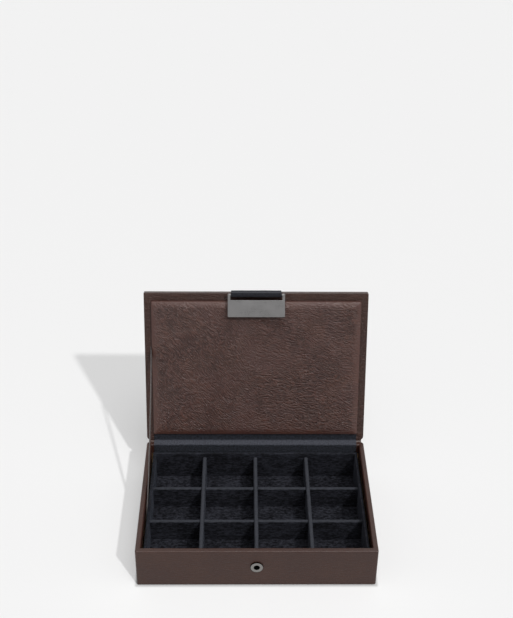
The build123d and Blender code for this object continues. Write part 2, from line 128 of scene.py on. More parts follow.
def even_path(points, step):
    """The same line sampled at even steps, with its normals and lengths."""
    lengths = [0.0]
    for a, b in zip(points, points[1:]):
        lengths.append(lengths[-1] + (b - a).length)
    count = max(2, round(lengths[-1] / step))
    samples = []
    k = 0
    for i in range(count + 1):
        at = lengths[-1] * i / count
        while k < len(points) - 2 and lengths[k + 1] < at:
            k += 1
        span = max(lengths[k + 1] - lengths[k], 1e-9)
        samples.append((points[k].lerp(points[k + 1], (at - lengths[k]) / span), at))
    path = []
    for i, (point, at) in enumerate(samples):
        run = samples[min(i + 1, count)][0] - samples[max(i - 1, 0)][0]
        run.normalize()
        path.append((point, Vector((-run.y, run.x)), at))
    return path


def band(name, path, x_range, thickness, material, relief=None, columns=60, edge=None):
    """A closed strip of cloth or leather along a path in Y and Z, with rounded selvedges.

    relief(x, length) lifts the strip's middle surface along its normal.
    """
    edge = edge or thickness / 2
    x_low, x_high = x_range
    across = [x_low + edge * (1 - math.cos(math.pi / 2 * i / 3)) for i in range(3)]
    middle = [x_low + edge + (x_high - x_low - 2 * edge) * i / columns for i in range(columns + 1)]
    across = across + middle + [x_low + x_high - x for x in reversed(across)]
    points, uvs = [], []
    for side in (1, -1):
        for row, (point, normal, length) in enumerate(path):
            for x in across:
                inset = min(x - x_low, x_high - x, edge) / edge
                half = thickness / 2 * math.sqrt(max(0.0, 1 - (1 - inset) ** 2))
                if row in (0, len(path) - 1):
                    half *= 0.35
                lift = relief(x, length) if relief else 0.0
                place = point + normal * (side * half + lift)
                points.append((x, place.x, place.y))
                uvs.append((x, length))
    return close_sheet(name, points, uvs, len(path), len(across), material)


def close_sheet(name, points, uvs, rows, columns, material):
    """Faces for two stacked grids of points, joined round their four edges."""
    under = rows * columns
    faces = []
    for r in range(rows - 1):
        for c in range(columns - 1):
            a = r * columns + c
            quad = (a, a + 1, a + columns + 1, a + columns)
            faces.append(quad[::-1])
            faces.append(tuple(under + i for i in quad))
    for r in (0, rows - 1):
        for c in range(columns - 1):
            a, b = r * columns + c, r * columns + c + 1
            rim = (a, b, under + b, under + a)
            faces.append(rim if r == 0 else rim[::-1])
    piece = make_piece(name, points, faces, material, uvs)
    weld(piece, 1e-7)
    return piece


def weld(piece, distance):
    """Joins points that lie on each other, as at a strip's selvedges."""
    bpy.context.view_layer.objects.active = piece
    piece.select_set(True)
    modifier = piece.modifiers.new("weld", "WELD")
    modifier.merge_threshold = distance
    bpy.ops.object.modifier_apply(modifier=modifier.name)
    piece.select_set(False)


def wave(x, y, size, seed, octaves=2):
    """Smooth noise from about -1 to 1 over features of a size in millimetres."""
    return noise.fractal(Vector((x / size, y / size, seed)), 1.0, 2.0, octaves)


# ---------------------------------------------------------------- shader helpers

def srgb(red, green, blue):
    """A colour given in the usual 0 to 255 steps, as Blender's linear values."""
    def linear(c):
        c /= 255
        return c / 12.92 if c <= 0.04045 else ((c + 0.055) / 1.055) ** 2.4
    return (linear(red), linear(green), linear(blue), 1.0)


class Shader:
    """A node material in the making; each method adds one node and gives its output."""

    def __init__(self, name):
        self.material = bpy.data.materials.new(name)
        self.material.use_nodes = True
        self.tree = self.material.node_tree
        self.tree.nodes.clear()

    def set(self, socket, value):
        if isinstance(value, bpy.types.NodeSocket):
            self.tree.links.new(value, socket)
        else:
            socket.default_value = value

    def add(self, kind, values=None, **settings):
        node = self.tree.nodes.new(kind)
        for key, value in settings.items():
            setattr(node, key, value)
        for key, value in (values or {}).items():
            self.set(node.inputs[key], value)
        return node

    def place(self, source="Object", scale=(1000, 1000, 1000), turn=(0, 0, 0)):
        """Coordinates in millimetres, turned by degrees."""
        coordinates = self.add("ShaderNodeTexCoord").outputs[source]
        turned = self.add("ShaderNodeMapping", {
            "Vector": coordinates,
            "Rotation": [math.radians(a) for a in turn],
        })
        return self.add("ShaderNodeMapping", {
            "Vector": turned.outputs["Vector"],
            "Scale": scale,
        }).outputs["Vector"]

    def noise(self, vector, scale, detail=3.0, roughness=0.55, output="Factor"):
        node = self.add("ShaderNodeTexNoise", {
            "Vector": vector, "Scale": scale, "Detail": detail, "Roughness": roughness,
        })
        return node.outputs["Fac" if output == "Factor" else "Color"]

    def cells(self, vector, scale, feature="DISTANCE_TO_EDGE", randomness=1.0):
        node = self.add("ShaderNodeTexVoronoi", {
            "Vector": vector, "Scale": scale, "Randomness": randomness,
        }, feature=feature)
        return node.outputs["Distance"]

    def math(self, operation, a, b=0.0, clamp=False):
        node = self.add("ShaderNodeMath", {0: a, 1: b}, operation=operation, use_clamp=clamp)
        return node.outputs[0]

    def span(self, value, low, high, to_low=0.0, to_high=1.0):
        """A value's range mapped to another, clamped, with a smooth step."""
        node = self.add("ShaderNodeMapRange", {
            "Value": value, "From Min": low, "From Max": high,
            "To Min": to_low, "To Max": to_high,
        }, interpolation_type="SMOOTHSTEP")
        return node.outputs["Result"]

    def mix(self, factor, a, b):
        node = self.add("ShaderNodeMix", {0: factor}, data_type="RGBA")
        colours = [socket for socket in node.inputs if socket.type == "RGBA"]
        self.set(colours[0], a)
        self.set(colours[1], b)
        return [socket for socket in node.outputs if socket.type == "RGBA"][0]

    def warp(self, vector, scale, amount):
        """Coordinates pushed about by noise, so that a pattern wanders."""
        push = self.noise(vector, scale, 2.0, 0.5, "Color")
        centred = self.add("ShaderNodeVectorMath", {
            0: push, 1: (0.5, 0.5, 0.5),
        }, operation="SUBTRACT")
        scaled = self.add("ShaderNodeVectorMath", {
            0: centred.outputs[0], "Scale": amount,
        }, operation="SCALE")
        return self.add("ShaderNodeVectorMath", {
            0: vector, 1: scaled.outputs[0],
        }, operation="ADD").outputs[0]

    def bump(self, height, depth, strength=1.0, normal=None):
        """depth is in millimetres."""
        values = {"Height": height, "Distance": depth * MM, "Strength": strength}
        if normal is not None:
            values["Normal"] = normal
        return self.add("ShaderNodeBump", values).outputs["Normal"]

    def finish(self, colour, roughness, normal=None, **values):
        """The principled shader with these inputs, on the material's output."""
        inputs = {"Base Color": colour, "Roughness": roughness}
        if normal is not None:
            inputs["Normal"] = normal
        inputs.update({key.replace("_", " "): value for key, value in values.items()})
        shader = self.add("ShaderNodeBsdfPrincipled", inputs)
        output = self.add("ShaderNodeOutputMaterial")
        self.tree.links.new(shader.outputs["BSDF"], output.inputs["Surface"])
        return self.material


# ---------------------------------------------------------------- materials

CREASE_SHADE = srgb(30, 18, 15)
WRAP = (srgb(53, 30, 23), srgb(60, 35, 25))
PAD = (srgb(69, 44, 39), srgb(76, 49, 40))
PAD_HALF = (84.0, 57.5)      # half the pad's width and length, where its creases die away


def creases(s, flat, length, width, turn, seed):
    """Height of long, nearly parallel creases, drawn out along one direction."""
    turned = s.add("ShaderNodeMapping", {
        "Vector": flat, "Rotation": (0, 0, math.radians(turn)), "Location": (seed, seed, seed),
    }).outputs["Vector"]
    stretched = s.add("ShaderNodeMapping", {
        "Vector": turned, "Scale": (1 / length, 1 / width, 1 / width),
    }).outputs["Vector"]
    return s.span(s.noise(stretched, 1.0, 2.0, 0.45), 0.36, 0.60)


def pebbled_leather(name, tones, source="Object", turn=(0, 0, 0), depth=0.07, size=0.75,
                    roughness=0.42):
    """Brown leather with a fine pebbled grain, as on the wrapped boards."""
    s = Shader(name)
    flat = s.place(source, turn=turn)
    grain = s.span(s.cells(s.warp(flat, 0.8, 0.8), size), 0.0, 0.24)
    drawn = creases(s, flat, 5.0, 0.7, 5, 3.0)
    pores = s.noise(flat, 4.0, 3.0, 0.6)
    height = s.math("ADD", s.math("MULTIPLY", grain, 0.6), s.math("MULTIPLY", pores, 0.5))
    height = s.math("ADD", height, s.math("MULTIPLY", drawn, 0.9))
    mottle = s.span(s.noise(flat, 0.05, 4.0, 0.6), 0.35, 0.7)
    colour = s.mix(s.math("MULTIPLY", mottle, 0.7), tones[0], tones[1])
    sunk = s.math("SUBTRACT", 1.0, s.math("MULTIPLY", grain, drawn))
    colour = s.mix(s.math("MULTIPLY", sunk, 0.30), colour, CREASE_SHADE)
    rough = s.span(s.math("ADD", grain, pores), 0.3, 1.6, roughness + 0.06, roughness - 0.06)
    return s.finish(colour, rough, s.bump(height, depth), Specular_IOR_Level=0.24, Coat_Weight=0.22,
                    Coat_Roughness=0.24, Coat_IOR=1.45)


def milled_leather(name, tones):
    """The pad's soft leather: wavy creases that lie steeper on the left than on the right."""
    s = Shader(name)
    flat = s.place("UV")
    across = s.add("ShaderNodeSeparateXYZ", {"Vector": s.warp(flat, 0.02, 40.0)}).outputs[0]
    side = s.span(across, -35.0, 20.0)
    bent = s.warp(flat, 0.04, 12.0)
    steep = creases(s, bent, 4.2, 0.92, 48, 0.0)
    shallow = creases(s, bent, 4.4, 0.92, 14, 9.0)
    long = s.add("ShaderNodeMix", {0: side, 2: steep, 3: shallow}, data_type="FLOAT").outputs[0]
    short = creases(s, bent, 1.9, 0.8, 34, 5.0)
    drawn = s.math("ADD", s.math("MULTIPLY", long, 0.75), s.math("MULTIPLY", short, 0.25))
    patch = s.span(s.noise(flat, 0.03, 2.0, 0.5), 0.34, 0.60, 0.6, 1.0)
    for axis, half in zip((0, 1), PAD_HALF):
        wandering = s.add("ShaderNodeSeparateXYZ", {"Vector": s.warp(flat, 0.15, 4.0)}).outputs
        off = s.math("ABSOLUTE", wandering[axis])
        patch = s.math("MULTIPLY", patch, s.span(off, half - 7.0, half - 0.5, 1.0, 0.25))
    grain = s.span(s.cells(s.warp(flat, 0.8, 0.5), 1.7), 0.0, 0.25)
    pores = s.noise(flat, 4.0, 2.0, 0.6)
    creased = s.bump(s.math("MULTIPLY", drawn, patch), 0.85)
    fine = s.math("ADD", s.math("MULTIPLY", grain, 0.6), s.math("MULTIPLY", pores, 0.5))
    pebbled = s.bump(fine, 0.05, 1.0, creased)
    mottle = s.span(s.noise(flat, 0.045, 4.0, 0.6), 0.35, 0.7)
    colour = s.mix(s.math("MULTIPLY", mottle, 0.6), tones[0], tones[1])
    sunk = s.math("MULTIPLY", s.math("SUBTRACT", 1.0, drawn), patch, True)
    colour = s.mix(s.math("MULTIPLY", sunk, 0.75), colour, CREASE_SHADE)
    rough = s.span(s.math("ADD", drawn, pores), 0.3, 1.6, 0.50, 0.34)
    return s.finish(colour, rough, pebbled, Specular_IOR_Level=0.36)


def felt(name, dark, light, nap=0.35, sheen=0.2, top=None, pale=0.8):
    """Felted wool: short fibres in every direction, a soft sheen and faint pills.

    top is the height in millimetres of a folded edge, along which the felt is painted paler as a highlight.
    """
    s = Shader(name)
    flat = s.place()
    streaks = s.add("ShaderNodeMapping", {
        "Vector": flat, "Scale": (0.45, 1.0, 1.5),
    }).outputs["Vector"]
    fibre = s.noise(s.warp(streaks, 1.1, 1.3), 2.2, 4.0, 0.75)
    pill = s.noise(s.warp(streaks, 0.6, 1.0), 0.62, 4.0, 0.7)
    cloud = s.noise(flat, 0.06, 2.0, 0.5)
    shade = s.math("ADD", s.math("MULTIPLY", fibre, 0.3), s.math("MULTIPLY", pill, 0.7))
    clouded = s.math("MULTIPLY", s.math("SUBTRACT", cloud, 0.5), 0.2)
    tone = s.span(s.math("ADD", shade, clouded), 0.40, 0.64)
    colour = s.mix(tone, dark, light)
    # Painted highlight: the felt is made paler along its top edge, where the light falls fuller.
    if top is not None:
        height = s.add("ShaderNodeSeparateXYZ", {"Vector": flat}).outputs[2]
        painted_highlight_shape = s.span(s.math("ADD", height, s.math("MULTIPLY", pill, 0.9)), top - 0.7, top + 0.5)
        colour = s.mix(s.math("MULTIPLY", painted_highlight_shape, pale), colour, FELT_PAINTED_HIGHLIGHT)
    normal = s.bump(shade, nap)
    return s.finish(colour, 0.95, normal, Specular_IOR_Level=0.1, Sheen_Weight=sheen,
                    Sheen_Roughness=0.42, Sheen_Tint=srgb(96, 102, 116))


def woven(name, thread, warp_colour, weft_colour, depth, roughness=0.8, sheen=0.2, rib=1.0,
          pale=None):
    """A plain weave laid out by the strip's own width and length; thread is its pitch.

    Its last argument gives the stretch of its length over which the cloth is painted paler as a highlight, with
    that paler colour.
    """
    s = Shader(name)
    flat = s.place("UV")
    split = s.add("ShaderNodeSeparateXYZ", {"Vector": flat}).outputs
    turn = 2 * math.pi / thread
    along = s.math("SINE", s.math("MULTIPLY", split[1], turn))
    across = s.math("SINE", s.math("MULTIPLY", split[0], turn * rib))
    plain = s.math("MULTIPLY", along, across)
    fuzz = s.noise(flat, 4.0, 3.0, 0.6)
    height = s.math("ADD", s.math("MULTIPLY", s.math("ADD", plain, along), 0.35), fuzz)
    painted_highlight_shape = s.noise(flat, 0.35, 3.0, 0.6)
    threads = s.math("MULTIPLY", plain, 0.12)
    tone = s.span(s.math("ADD", threads, s.noise(flat, 0.7, 4.0, 0.7)), 0.32, 0.70)
    colour = s.mix(tone, warp_colour, weft_colour)
    # Painted highlight: a paler band over part of the length, where the lining lies facing up over the wall top,
    # with ragged ends and a patchy inside.
    if pale:
        first, last, lighter = pale
        ragged = s.math("ADD", split[1], s.math("MULTIPLY", painted_highlight_shape, 1.2))
        inside = s.math("MULTIPLY", s.span(ragged, first, first + 1.2),
                        s.span(ragged, last, last + 1.6, 1.0, 0.0))
        patchy = s.span(s.noise(flat, 0.9, 3.0, 0.7), 0.3, 0.65, 0.15, 1.0)
        colour = s.mix(s.math("MULTIPLY", inside, patchy), colour, lighter)
    return s.finish(colour, roughness, s.bump(height, depth), Specular_IOR_Level=0.15,
                    Sheen_Weight=sheen, Sheen_Roughness=0.42, Sheen_Tint=srgb(110, 112, 120))


def brushed_metal(name, base, roughness, brush_axis=(0.12, 6.0, 6.0), turn=(0, 0, 0), depth=0.004,
                  mouth=0.0):
    """Dark plated metal with fine brush lines and a little handling haze.

    mouth is the radius within which the press stud's socket is painted black as the shade in its hollow; a thin
    ring at its outer edge is painted dark as shadow too.
    """
    s = Shader(name)
    lines = s.noise(s.place(scale=[1000 * a for a in brush_axis], turn=turn), 1.0, 4.0, 0.7)
    haze = s.noise(s.place(), 0.12, 3.0, 0.6)
    light = tuple(min(1.0, c * 1.18) for c in base[:3]) + (1.0,)
    dark = tuple(c * 0.86 for c in base[:3]) + (1.0,)
    tone = s.math("ADD", s.math("MULTIPLY", lines, 0.6), s.math("MULTIPLY", haze, 0.4))
    colour = s.mix(tone, dark, light)
    rough = s.span(s.math("ADD", lines, haze), 0.6, 1.4, roughness - 0.06, roughness + 0.08)
    if not mouth:
        return s.finish(colour, rough, s.bump(lines, depth), Metallic=1.0)
    # Painted shade: inside the mouth and in a thin ring at the outer edge, the socket is painted near black, matte
    # and not metal. This stands for the shade in its hollow and round its rim.
    low, high = extent("snap_socket")
    split = s.add("ShaderNodeSeparateXYZ", {"Vector": s.place()}).outputs
    rise = s.math("SUBTRACT", split[2], (low.z + high.z) / 2)
    square = s.math("ADD", s.math("MULTIPLY", split[0], split[0]), s.math("MULTIPLY", rise, rise))
    reach = s.math("SQRT", square)
    outside = s.span(reach, high.x - 0.5, high.x - 0.2, 1.0, 0.0)
    unshaded = s.math("MULTIPLY", s.span(reach, mouth - 0.15, mouth + 0.15), outside)
    colour = s.mix(unshaded, srgb(4, 4, 4), colour)
    return s.finish(colour, s.span(unshaded, 0.0, 1.0, 0.8, roughness), s.bump(lines, depth),
                    Metallic=unshaded, Specular_IOR_Level=s.math("MULTIPLY", unshaded, 0.5))


def fibreboard(name, dark, light, flake=0.5):
    """Raw board or card: matted fibres with a few darker flecks."""
    s = Shader(name)
    flat = s.place()
    fibre = s.noise(s.warp(flat, 0.7, 1.5), flake, 5.0, 0.65)
    fleck = s.span(s.cells(flat, 0.35, "F1"), 0.05, 0.22)
    colour = s.mix(s.math("MULTIPLY", fibre, fleck), dark, light)
    return s.finish(colour, 0.9, s.bump(fibre, 0.08))


def foam(name):
    s = Shader(name)
    flat = s.place()
    pores = s.cells(flat, 1.6, "F1")
    colour = s.mix(s.span(pores, 0.1, 0.6), srgb(176, 170, 152), srgb(222, 216, 198))
    return s.finish(colour, 0.95, s.bump(pores, 0.3))


FELT_DARK = srgb(3, 3, 5)
FELT_LIGHT = srgb(39, 40, 47)
# Colour of the painted highlight along the tops of the tray felt.
FELT_PAINTED_HIGHLIGHT = srgb(62, 64, 70)
METAL = srgb(108, 107, 107)
# Radius of the socket's mouth; inside it the socket is painted black as the shade in its hollow.
SOCKET_MOUTH = 2.4


def make_materials():
    plate_turn = (math.degrees(-PLATE_TURN), 0, 0)
    lid_turn = (-(90 - LID_LEAN), 0, 0)

    def edge_felt(name, node, **values):
        """Tray felt with a painted highlight along the top of a node."""
        return felt(name, FELT_DARK, FELT_LIGHT, top=extent(node)[1].z, **values)

    return {
        "leather": pebbled_leather("leather_wrap", WRAP),
        "lid_leather": pebbled_leather("leather_lid_wrap", WRAP, turn=lid_turn, depth=0.42,
                                       size=0.52),
        "pad_leather": milled_leather("leather_pad", PAD),
        "strip_leather": pebbled_leather("leather_spine", WRAP, "UV"),
        "board": fibreboard("raw_board", srgb(120, 92, 62), srgb(176, 146, 108)),
        "card": fibreboard("grey_card", srgb(108, 98, 84), srgb(160, 150, 132), 0.9),
        "foam": foam("open_foam"),
        "felt": felt("tray_felt", FELT_DARK, FELT_LIGHT),
        # A lighter copy of the tray felt for the tray floor: painted light standing in for the extra light that
        # falls on the upward-facing floor.
        "floor_felt_painted_lighter": felt("tray_floor_felt", srgb(5, 5, 8), srgb(48, 49, 56)),
        "rim_felt": edge_felt("tray_rim_felt", "tray_back_wall", pale=0.12),
        "long_felt": edge_felt("long_divider_felt", "long_divider_1"),
        "cross_felt": edge_felt("cross_divider_felt", "cross_divider_1", pale=0.65),
        "sole_cloth": felt("sole_cloth", srgb(22, 22, 25), srgb(44, 44, 48), 0.08, 0.25),
        "lining_cloth": woven("lining_cloth", 0.7, srgb(8, 9, 12), srgb(44, 47, 55), 0.16, 0.95,
                              0.45, pale=(15.0, 20.5, srgb(76, 78, 86))),
        "ribbon": woven("grosgrain_ribbon", 0.5, srgb(84, 80, 79), srgb(122, 118, 116), 0.05, 0.55,
                        0.2, 0.4),
        "webbing": woven("strap_webbing", 0.8, srgb(14, 14, 18), srgb(34, 35, 41), 0.12, 0.85, 0.3),
        "plate_metal": brushed_metal("plate_metal", METAL, 0.30, turn=plate_turn),
        "stud_metal": brushed_metal("stud_metal", srgb(150, 147, 144), 0.26, (3.0, 3.0, 3.0)),
        "socket_metal": brushed_metal("socket_metal", srgb(132, 130, 128), 0.26, (3.0, 3.0, 3.0),
                                      mouth=SOCKET_MOUTH),
    }


MATERIALS = make_materials()


# Nodes whose material is a variant of their slot's.
SPECIAL = {
    "lid_leather": "lid_leather",
    "snap_socket": "socket_metal",
    "tray_floor": "floor_felt_painted_lighter",
    "tray_front_wall": "rim_felt",
    "tray_back_wall": "rim_felt",
    "tray_left_wall": "rim_felt",
    "tray_right_wall": "rim_felt",
    "long_divider_1": "long_felt",
    "long_divider_2": "long_felt",
    "long_divider_3": "long_felt",
    "cross_divider_1": "cross_felt",
    "cross_divider_2": "cross_felt",
}


def finish_cad_nodes():
    """Every carried-over node takes the material of its slot."""
    for part in frame["record"]["subparts"]:
        node = NODES[part["node"]]
        material = MATERIALS[SPECIAL.get(part["node"], part["material_slot"])]
        node.data.materials.clear()
        node.data.materials.append(material)


# ---------------------------------------------------------------- lid pad

PAD_SIDE = 2.1               # height of the pad's upright side
PAD_SIDE_ROUND = 0.8         # its rounding
PAD_BEVEL = 6.0              # width of the sloping band inside the side
PAD_CORNER = 1.5
PAD_GRID = 1.3               # mesh spacing in the middle of the pad
PAD_RINGS = [0.0, 0.02, 0.07, 0.16, 0.3, 0.5, 0.8, 1.3, 2.0, 2.9, 3.9, 5.0, 6.2, 7.5, 8.8]


def pad_height(inset, crown):
    """Height of the pad at a distance in from its outline: an upright side, then a bevel."""
    side = 1 - min(inset / PAD_SIDE_ROUND, 1.0)
    bevel = 1 - min(inset / PAD_BEVEL, 1.0)
    return PAD_SIDE * (1 - side ** 2.4) ** (1 / 2.4) + (crown - PAD_SIDE) * (1 - bevel ** 1.7)


def ribbon_dent(y):
    """How far the pad's left side is drawn in beside the ribbon, at y from the pad's middle."""
    return 2.4 * math.exp(-((y + 1.5) / 8.5) ** 2)


def grid_lines(low, high):
    """Mesh lines across the pad: close together near both edges, even in the middle."""
    first, last = low + PAD_RINGS[-1], high - PAD_RINGS[-1]
    count = round((last - first) / PAD_GRID)
    middle = [first + (last - first) * i / count for i in range(1, count)]
    return [low + r for r in PAD_RINGS] + middle + [high - r for r in reversed(PAD_RINGS)]


def soft_min(a, b, blend):
    h = max(blend - abs(a - b), 0.0) / blend
    return max(min(a, b) - h * h * blend / 4, 0.0)


def round_corner(x, y, half_x, half_y, inset):
    """Draws a ring's square corner in to an arc."""
    radius = max(PAD_CORNER - inset, 0.0)
    over_x = abs(x) - (half_x - inset - radius)
    over_y = abs(y) - (half_y - inset - radius)
    if radius < 1e-6 or over_x <= 0 or over_y <= 0:
        return x, y
    reach = max(over_x, over_y) / math.hypot(over_x, over_y)
    x = math.copysign(half_x - inset - radius + over_x * reach, x)
    y = math.copysign(half_y - inset - radius + over_y * reach, y)
    return x, y


def lid_pad():
    """The padded leather panel: a crowned cushion with an upright side and a broad bevel."""
    low, high = extent("lid_pad_cover", LID_PLACE)
    middle = (low + high) / 2
    half_x, half_y = high.x - middle.x, high.y - middle.y
    board_top = extent("lid_pad_board", LID_PLACE)[1].z + 0.2
    xs = grid_lines(-half_x, half_x)
    ys = grid_lines(-half_y, half_y)
    points, uvs = [], []
    for y in ys:
        for x in xs:
            edge_x, edge_y = half_x - abs(x), half_y - abs(y)
            inset = min(edge_x, edge_y)
            rounded = soft_min(edge_x, edge_y, 2.0) if inset > 0.5 else inset
            height = pad_height(rounded, high.z - 0.15)
            inner = min(inset / 10, 1.0)
            height += inner * (0.11 * wave(x, y, 26, 3.1) + 0.05 * wave(x, y, 9, 7.7))
            px, py = round_corner(x, y, half_x, half_y, inset)
            if x < 0 and height > board_top:
                pressed = min((height - board_top) / 1.2, 1.0)
                px += ribbon_dent(y) * pressed * max(0.0, 1 - edge_x / 13) ** 1.5
            points.append(tuple(LID_PLACE @ Vector((px, middle.y + py, max(height, 0.0)))))
            uvs.append((x, y))
    columns, rows = len(xs), len(ys)
    corners = [r * columns + c for r in range(rows - 1) for c in range(columns - 1)]
    faces = [(a, a + 1, a + columns + 1, a + columns) for a in corners]
    rim = list(range(columns))
    rim += [r * columns + columns - 1 for r in range(1, rows)]
    rim += [(rows - 1) * columns + c for c in range(columns - 2, -1, -1)]
    rim += [r * columns for r in range(rows - 2, 0, -1)]
    faces.append(tuple(reversed(rim)))
    pad = make_piece("lid_pad", points, faces, MATERIALS["pad_leather"], uvs)
    pad.data.polygons[len(faces) - 1].use_smooth = False
    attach(pad, "lid")
    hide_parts("lid_pad_cover", "lid_pad_foam")


# ---------------------------------------------------------------- soft hinge

SPINE = 0.7
SPINE_ON_BASE = 18.0
SPINE_ON_LID = 11.0
SPINE_FOLD = 1.3
LINING = 0.4
LINING_IN_BASE = 15.0


def hinge_spine():
    """The leather strip outside the hinge."""
    low, high = extent("hinge_spine")
    rim = extent("base_leather")[1].z
    back = extent("base_leather")[1].y
    lid_low, lid_high = extent("lid_leather", LID_PLACE)
    off = SPINE / 2 + STRIP_GAP
    corners = [
        (back + off, rim - SPINE_ON_BASE),
        (back + off, rim - SPINE_FOLD),
        lid_point(lid_low.y - off, -SPINE_FOLD),
        lid_point(lid_low.y - off, lid_low.z - off),
        lid_point(lid_low.y + SPINE_ON_LID, lid_low.z - off),
    ]
    path = arc_path(corners, [1.0, 1.0, 1.0], 0.45)
    piece = band("hinge_spine_leather", path, (low.x, high.x), SPINE, MATERIALS["strip_leather"],
                 lambda x, s: 0.05 * wave(x, s, 12, 2.2), 110)
    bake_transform(piece)
    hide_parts("hinge_spine")


def hinge_lining():
    """The cloth strip inside the hinge, over the back wall and up behind the pad."""
    low, high = extent("hinge_lining")
    rim = extent("base_leather")[1].z
    pad_low = extent("lid_pad_cover", LID_PLACE)[0].y
    off = LINING / 2 + STRIP_GAP
    inside = low.y + LINING / 2
    lean = math.radians(LID_LEAN)
    rise = (rim + off - HINGE.z - off * math.sin(lean)) / math.cos(lean)
    corners = [
        (inside, rim - LINING_IN_BASE),
        (inside, rim + off),
        lid_point(rise, off),
        lid_point(pad_low - STRIP_GAP, off),
    ]
    path = arc_path(corners, [0.7, 1.5], 0.4)
    piece = band("hinge_lining_cloth", path, (low.x, high.x), LINING, MATERIALS["lining_cloth"],
                 lambda x, s: 0.10 * max(0.0, wave(x, s, 7, 5.3)), 150)
    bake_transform(piece)
    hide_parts("hinge_lining")


# ---------------------------------------------------------------- stay ribbon

RIBBON = 0.4
RIBBON_WIDTH = 4.0
RIBBON_ON_LID = 81.4
RIBBON_IN_BASE = 72.7
RIBBON_TAIL = 13.0
RIBBON_TWIST = 9.0           # degrees it is turned towards the front, half way up
RIBBON_IN = 0.25             # how far it stands in from the middle of its room
RIBBON_BOW = 0.8             # how far it stands in from its two ends


def stay_ribbon():
    """The taut ribbon at the left, standing on edge between the lid and the tray."""
    low, high = extent("stay_ribbon")
    tray_top = extent("tray_left_wall")[1].z
    top = Vector(lid_point(RIBBON_ON_LID, 0.15))
    entry = Vector((HINGE.y - RIBBON_IN_BASE, tray_top))
    run = (top - entry).normalized()
    side = Vector((-run.y, run.x))
    start = entry - run * RIBBON_TAIL
    length = (top - start).length
    middle_x = (low.x + high.x) / 2 + RIBBON_IN
    rows, columns = 80, 9
    points, uvs = [], []
    for face in (1, -1):
        for r in range(rows + 1):
            along = length * r / rows
            for c in range(columns):
                share = 2 * c / (columns - 1) - 1
                across = share * RIBBON_WIDTH / 2
                slope = across * math.tan(math.radians(20)) * (r / rows) ** 8
                half = RIBBON / 2 * math.sqrt(max(0.0, 1 - abs(share) ** 6))
                free = (along - RIBBON_TAIL) / (length - RIBBON_TAIL)
                swell = math.sin(math.pi * min(max(free, 0.0), 1.0))
                twist = math.radians(RIBBON_TWIST) * swell ** 0.7
                turned = across * math.cos(twist) + face * half * math.sin(twist)
                place = start + run * (along + slope) + side * turned
                bow = RIBBON_BOW * swell ** 0.5
                sway = bow + 0.04 * wave(along, 0, 22, 4.1) - across * math.sin(twist)
                points.append((middle_x + face * half * math.cos(twist) + sway, place.x, place.y))
                uvs.append((across, along))
    piece = close_sheet("stay_ribbon_woven", points, uvs, rows + 1, columns, MATERIALS["ribbon"])
    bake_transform(piece)
    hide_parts("stay_ribbon")


# ---------------------------------------------------------------- closure

STRAP = 0.85
STRAP_ON_LID = 12.0
LOOP = 1.33                  # middle of the webbing to the middle of the bar
STRAP_TAIL = 4.2             # how far the turned-back end reaches towards the lid


def closure_strap():
    """One length of webbing: on the lid's back, over its free edge, round the bar and back."""
    low, high = extent("closure_strap")
    lid_low, lid_high = extent("lid_leather", LID_PLACE)
    bar = LID_PLACE.inverted() @ Vector((0, BAR.y, BAR.z))
    outer = lid_low.z - STRAP / 2 - STRIP_GAP
    over = lid_high.y + STRAP / 2 + STRIP_GAP
    corners = [(lid_high.y - STRAP_ON_LID, outer), (over, outer), (over, lid_low.z + 2.0)]
    flat = [Vector(c) for c, _, _ in arc_path(corners, [1.0], 0.3)]
    flat.append(Vector((over, -1.0)))
    loop = [Vector((bar.y, bar.z)) + LOOP * Vector((math.cos(a), math.sin(a)))
            for a in [math.radians(d) for d in range(-28, 196, 8)]]
    tail = Vector((over - STRAP - 0.1, bar.z - STRAP_TAIL))
    line = flat + loop + [tail]
    path = even_path([Vector(lid_point(p.x, p.y)) for p in line], 0.35)
    piece = band("closure_strap_webbing", path, (low.x, high.x), STRAP, MATERIALS["webbing"],
                 lambda x, s: 0.10 * wave(x, s * 0.3, 11, 9.4), 80, 0.5)
    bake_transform(piece)
    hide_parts("closure_strap", "strap_loop")


# ---------------------------------------------------------------- floor, light and camera

SUN_DIRECTION = Vector((0.3799, -0.6007, 0.7034))
SUN_STRENGTH = 1.75
SUN_ANGLE = 2.0
TOP_DIRECTION = Vector((0.12, -0.33, 0.94))
TOP_STRENGTH = 1.0
TOP_ANGLE = 32.0
SKY_STRENGTH = 0.45
FLOOR_GREY = 0.565           # how much of the light the floor gives back
FLOOR_GLOW = 0.244           # the rest of its even white, so that its shadow stays pale
FLOOR_SIZE = 8.0
# Painted light: extra floor glow near the box, cancelling the shade that the box casts on the floor close by.
FLOOR_PAINTED_LIGHT = 0.06            # extra glow close to the front of the box
LIFT_REACH = 35.0            # distance over which that fades by a factor e
WIDE_PAINTED_LIGHT = 0.042            # the same, all round the box
WIDE_REACH = 200.0
# Painted contact shadow: the floor's glow dies away towards the foot of the box.
FOOT_PAINTED_SHADOW = (0.2, 2.6)       # the glow starts this far from the foot
BACKGROUND = 0.896
OVERHEAD = 1.5               # what mirrors see high up
OVERHEAD_RISE = (0.30, 0.55)  # upward part of the direction over which it sets in

PHOTO_HEIGHT = 618
FOCAL_PIXELS = 1084.2
SENSOR = 36.0
CAMERA_PLACE = Vector((-12.22, -634.47, 619.56))
CAMERA_PITCH = 32.99
CAMERA_YAW = 0.98
CAMERA_ROLL = 0.669


